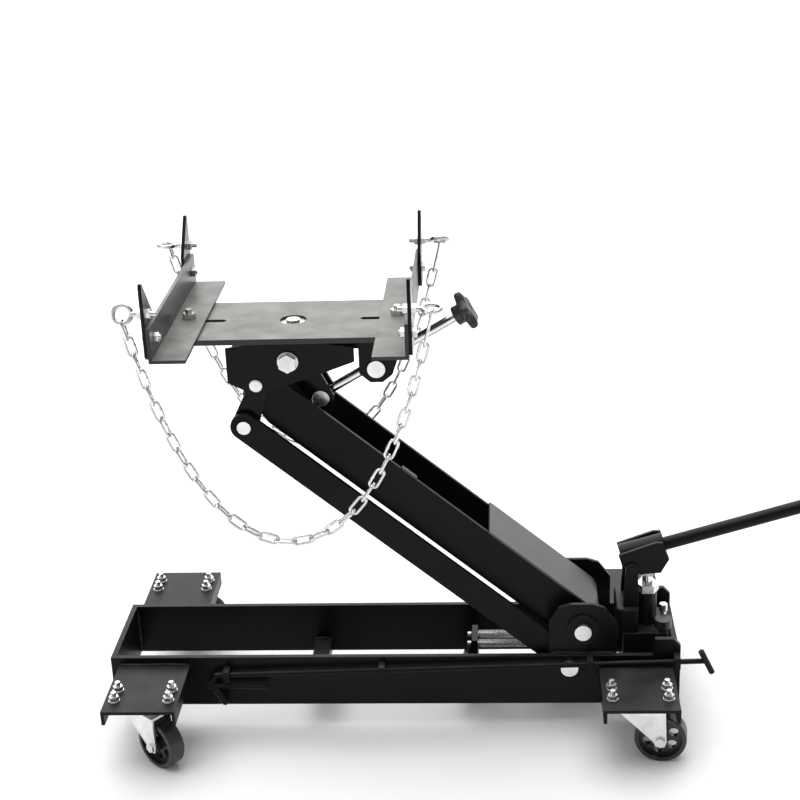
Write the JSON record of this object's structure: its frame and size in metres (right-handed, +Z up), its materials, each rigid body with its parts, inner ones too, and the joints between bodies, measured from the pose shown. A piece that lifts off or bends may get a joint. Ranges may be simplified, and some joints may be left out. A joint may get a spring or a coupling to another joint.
{
  "type": "transmission jack",
  "caption": "Low-profile hydraulic floor jack: a frame on swivel casters, a lift arm that keeps a tilting saddle level, angle irons with fingers and chains, and a pump handle.",
  "frame": {"origin": "on the floor, at the middle of the footprint", "axes": "+X along the frame towards the pump handle, +Y across, +Z up; the saddle is at -X"},
  "size_m": [1.2752, 0.4388, 0.736],
  "materials": {
    "black_paint": "gloss black paint",
    "zinc_plate": "bright zinc plate",
    "bright_steel": "ground steel",
    "black_plastic": "moulded black plastic",
    "wheel_black": "satin moulded wheel"
  },
  "bodies": {
    "frame": {"side_rails": "black_paint", "cross_members": "black_paint", "pivot_brackets": "black_paint", "pivot_pins": "zinc_plate", "caster_channels": "black_paint", "caster_top_plates": "zinc_plate", "caster_bolts": "zinc_plate", "main_cylinder": "black_paint", "pump_block": "black_paint", "oil_reservoir": "black_paint", "pump_cylinder": "black_paint", "gland_nut": "zinc_plate", "overload_valve_plug": "zinc_plate", "oil_filler_cap": "black_plastic", "guide_rods": "bright_steel", "return_springs": "bright_steel", "fulcrum_posts": "black_paint", "release_rod_guides": "black_paint"},
    "lift_arm": {"arm_side_plates": "black_paint", "arm_floor": "black_paint", "arm_cover": "black_paint", "arm_cross_tubes": "black_paint", "arm_crank": "black_paint"},
    "lower_links": {"lower_links": "black_paint"},
    "head": {"head_cheeks": "black_paint", "screw_bracket": "black_paint", "head_pins": "zinc_plate", "tilt_bolt": "zinc_plate"},
    "saddle": {"saddle_plate": "black_paint", "saddle_centre_bolt": "zinc_plate", "saddle_ears": "black_paint"},
    "ear_trunnion": {"ear_trunnion": "zinc_plate"},
    "lower_trunnion": {"lower_trunnion": "zinc_plate"},
    "tilt_screw": {"tilt_screw": "bright_steel", "star_knob": "black_plastic"},
    "front_angle": {"front_angle_iron": "black_paint", "front_clamp_bolt": "zinc_plate", "near_chain_front_half": "zinc_plate", "far_chain_front_half": "zinc_plate"},
    "rear_angle": {"rear_angle_iron": "black_paint", "rear_clamp_bolt": "zinc_plate", "near_chain_rear_half": "zinc_plate", "far_chain_rear_half": "zinc_plate"},
    "ram": {"ram": "bright_steel"},
    "handle_socket": {"handle_socket": "black_paint"},
    "pump_handle": {"pump_handle": "black_paint"},
    "plunger": {"pump_plunger": "bright_steel"},
    "release_rod": {"release_rod": "black_paint"},
    "finger_front_near": {"finger_front_near": "black_paint"},
    "caster_fork_front_near": {"caster_fork_front_near": "zinc_plate"},
    "caster_wheel_front_near": {"caster_wheel_front_near": "wheel_black"},
    "finger_front_far": {"finger_front_far": "black_paint"},
    "caster_fork_front_far": {"caster_fork_front_far": "zinc_plate"},
    "caster_wheel_front_far": {"caster_wheel_front_far": "wheel_black"},
    "finger_rear_near": {"finger_rear_near": "black_paint"},
    "caster_fork_rear_near": {"caster_fork_rear_near": "zinc_plate"},
    "caster_wheel_rear_near": {"caster_wheel_rear_near": "wheel_black"},
    "finger_rear_far": {"finger_rear_far": "black_paint"},
    "caster_fork_rear_far": {"caster_fork_rear_far": "zinc_plate"},
    "caster_wheel_rear_far": {"caster_wheel_rear_far": "wheel_black"}
  },
  "joints": [
    {"name": "arm_lift", "type": "hinge", "parent": "frame", "child": "lift_arm", "pos_m": [0.0754, 0, 0.157], "axis": [0, 1, 0], "range_deg": [-42, 24], "deforming": ["near_chain_front_half", "far_chain_front_half", "near_chain_rear_half", "far_chain_rear_half"]},
    {"name": "link_swing", "type": "hinge", "parent": "frame", "child": "lower_links", "pos_m": [0.0554, 0, 0.097], "axis": [0, 1, 0], "range_deg": [-42, 24]},
    {"name": "head_level", "type": "hinge", "parent": "lift_arm", "child": "head", "pos_m": [-0.38738, 0, 0.5467], "axis": [0, 1, 0], "range_deg": [-24, 42]},
    {"name": "saddle_tilt", "type": "hinge", "parent": "head", "child": "saddle", "pos_m": [-0.3396, 0, 0.582], "axis": [0, 1, 0], "range_deg": [-8, 8]},
    {"name": "ear_trunnion_turn", "type": "hinge", "parent": "saddle", "child": "ear_trunnion", "pos_m": [-0.2171, 0, 0.5585], "axis": [0, 1, 0], "range_deg": [-12, 12]},
    {"name": "lower_trunnion_turn", "type": "hinge", "parent": "head", "child": "lower_trunnion", "pos_m": [-0.3006, 0, 0.51], "axis": [0, 1, 0], "range_deg": [-12, 12]},
    {"name": "screw_turn", "type": "hinge", "parent": "ear_trunnion", "child": "tilt_screw", "pos_m": [-0.2171, 0, 0.5585], "axis": [0.8647, 0, 0.5023], "continuous": true},
    {"name": "front_angle_slide", "type": "slide", "parent": "saddle", "child": "front_angle", "axis": [1, 0, 0], "range_m": [-0.006, 0.047]},
    {"name": "rear_angle_slide", "type": "slide", "parent": "saddle", "child": "rear_angle", "axis": [-1, 0, 0], "range_m": [-0.006, 0.047]},
    {"name": "finger_front_near_swing", "type": "hinge", "parent": "front_angle", "child": "finger_front_near", "pos_m": [-0.5106, -0.146, 0.654], "axis": [1, 0, 0], "range_deg": [-25, 25]},
    {"name": "finger_front_far_swing", "type": "hinge", "parent": "front_angle", "child": "finger_front_far", "pos_m": [-0.5106, 0.146, 0.654], "axis": [1, 0, 0], "range_deg": [-25, 25]},
    {"name": "finger_rear_near_swing", "type": "hinge", "parent": "rear_angle", "child": "finger_rear_near", "pos_m": [-0.1606, -0.146, 0.654], "axis": [1, 0, 0], "range_deg": [-25, 25]},
    {"name": "finger_rear_far_swing", "type": "hinge", "parent": "rear_angle", "child": "finger_rear_far", "pos_m": [-0.1606, 0.146, 0.654], "axis": [1, 0, 0], "range_deg": [-25, 25]},
    {"name": "ram_slide", "type": "slide", "parent": "frame", "child": "ram", "axis": [-1, 0, 0], "range_m": [-0.046, 0.027], "deforming": ["return_springs"]},
    {"name": "pump_stroke", "type": "hinge", "parent": "frame", "child": "handle_socket", "pos_m": [0.1504, 0, 0.228], "axis": [0, -1, 0], "range_deg": [-12, 35]},
    {"name": "handle_pull", "type": "slide", "parent": "handle_socket", "child": "pump_handle", "axis": [0.9583, 0, 0.2857], "range_m": [0, 0.05]},
    {"name": "plunger_slide", "type": "slide", "parent": "frame", "child": "plunger", "axis": [0, 0, 1], "range_m": [-0.006, 0.017]},
    {"name": "release_turn", "type": "hinge", "parent": "frame", "child": "release_rod", "pos_m": [-0.4766, -0.094, 0.092], "axis": [-0.9996, 0, -0.0286], "range_deg": [0, 60]},
    {"name": "caster_swivel_front_near", "type": "hinge", "parent": "frame", "child": "caster_fork_front_near", "pos_m": [-0.5711, -0.168, 0.095], "axis": [0, 0, 1], "continuous": true},
    {"name": "caster_roll_front_near", "type": "hinge", "parent": "caster_fork_front_near", "child": "caster_wheel_front_near", "pos_m": [-0.54667, -0.18709, 0.0375], "axis": [0.6157, 0.788, 0], "continuous": true},
    {"name": "caster_swivel_front_far", "type": "hinge", "parent": "frame", "child": "caster_fork_front_far", "pos_m": [-0.5711, 0.168, 0.095], "axis": [0, 0, 1], "continuous": true},
    {"name": "caster_roll_front_far", "type": "hinge", "parent": "caster_fork_front_far", "child": "caster_wheel_front_far", "pos_m": [-0.54667, 0.18709, 0.0375], "axis": [-0.6157, 0.788, 0], "continuous": true},
    {"name": "caster_swivel_rear_near", "type": "hinge", "parent": "frame", "child": "caster_fork_rear_near", "pos_m": [0.1529, -0.168, 0.095], "axis": [0, 0, 1], "continuous": true},
    {"name": "caster_roll_rear_near", "type": "hinge", "parent": "caster_fork_rear_near", "child": "caster_wheel_rear_near", "pos_m": [0.1836, -0.17231, 0.0375], "axis": [0.1392, 0.9903, 0], "continuous": true},
    {"name": "caster_swivel_rear_far", "type": "hinge", "parent": "frame", "child": "caster_fork_rear_far", "pos_m": [0.1529, 0.168, 0.095], "axis": [0, 0, 1], "continuous": true},
    {"name": "caster_roll_rear_far", "type": "hinge", "parent": "caster_fork_rear_far", "child": "caster_wheel_rear_far", "pos_m": [0.18284, 0.17602, 0.0375], "axis": [-0.2588, 0.9659, 0], "continuous": true}
  ],
  "couplings": [
    {"joint": "link_swing", "follows": "arm_lift", "ratio": 1},
    {"joint": "head_level", "follows": "arm_lift", "ratio": -1},
    {"joint": "ram_slide", "follows": "arm_lift", "m_per_rad": 0.061},
    {"joint": "ear_trunnion_turn", "follows": "saddle_tilt", "ratio": -0.0185},
    {"joint": "lower_trunnion_turn", "follows": "saddle_tilt", "ratio": 0.9815},
    {"joint": "plunger_slide", "follows": "pump_stroke", "m_per_rad": 0.026}
  ]
}
